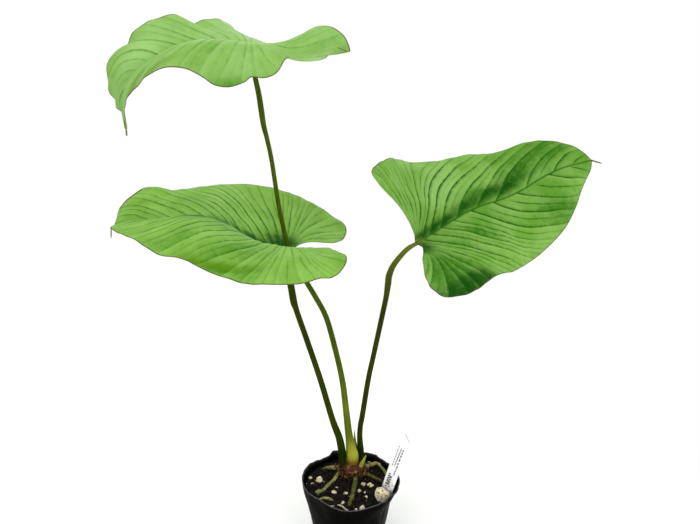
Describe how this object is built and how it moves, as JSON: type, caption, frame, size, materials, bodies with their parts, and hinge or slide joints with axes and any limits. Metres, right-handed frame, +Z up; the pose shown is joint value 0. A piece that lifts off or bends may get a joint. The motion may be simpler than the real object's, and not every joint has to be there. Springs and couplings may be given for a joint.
{
  "type": "potted anthurium plant",
  "caption": "Potted foliage plant with long-stalked, heart-shaped veined leaves in a small black nursery pot with potting mix, pumice and a blank white plant label.",
  "frame": {"origin": "centre of the pot's flat underside, which stands on the ground plane", "axes": "+Z up along the pot's axis; the picture looks along +Y, with the two left blades at -X and the right blade at +X"},
  "size_m": [0.5003, 0.2048, 0.5745],
  "materials": {
    "pot_plastic": "satin black thin plastic",
    "bark_mix": "damp dark potting mix",
    "crown_tissue": "fresh pale green to tan plant tissue",
    "stalk_dark": "fresh dark green plant tissue",
    "stalk_olive": "fresh olive green plant tissue",
    "leaf_mid": "satin green leaf",
    "leaf_pale": "satin pale green leaf",
    "leaf_deep": "satin mid green leaf",
    "shoot_tissue": "fresh light green plant tissue",
    "dry_sheath": "dry papery brown",
    "root_tissue": "fresh olive root",
    "pale_root": "pale fine root",
    "label_plastic": "white sheet plastic",
    "pumice": "rough porous pumice"
  },
  "bodies": {
    "root": {"pot": "pot_plastic", "potting_mix": "bark_mix", "crown_and_roots": "crown_tissue", "stalk_left": "stalk_dark", "stalk_middle": "stalk_olive", "stalk_right": "stalk_dark", "blade_left": "leaf_mid", "blade_upper": "leaf_pale", "blade_right": "leaf_deep", "new_shoot": "shoot_tissue", "sheath_tip": "shoot_tissue", "papery_sheath_1": "dry_sheath", "papery_sheath_2": "dry_sheath", "papery_sheath_3": "dry_sheath", "root_lower_left": "root_tissue", "root_front_pale": "pale_root", "plant_label": "label_plastic", "pumice_grain_01": "pumice", "pumice_grain_02": "pumice", "pumice_grain_03": "pumice", "pumice_grain_04": "pumice", "pumice_grain_05": "pumice", "pumice_grain_06": "pumice", "pumice_grain_07": "pumice", "pumice_grain_08": "pumice", "pumice_grain_09": "pumice", "pumice_grain_10": "pumice", "pumice_grain_11": "pumice", "pumice_grain_12": "pumice", "pumice_grain_13": "pumice", "pumice_grain_14": "pumice", "pumice_grain_15": "pumice", "pumice_grain_16": "pumice", "pumice_grain_17": "pumice", "pumice_block": "pumice"}
  },
  "joints": []
}
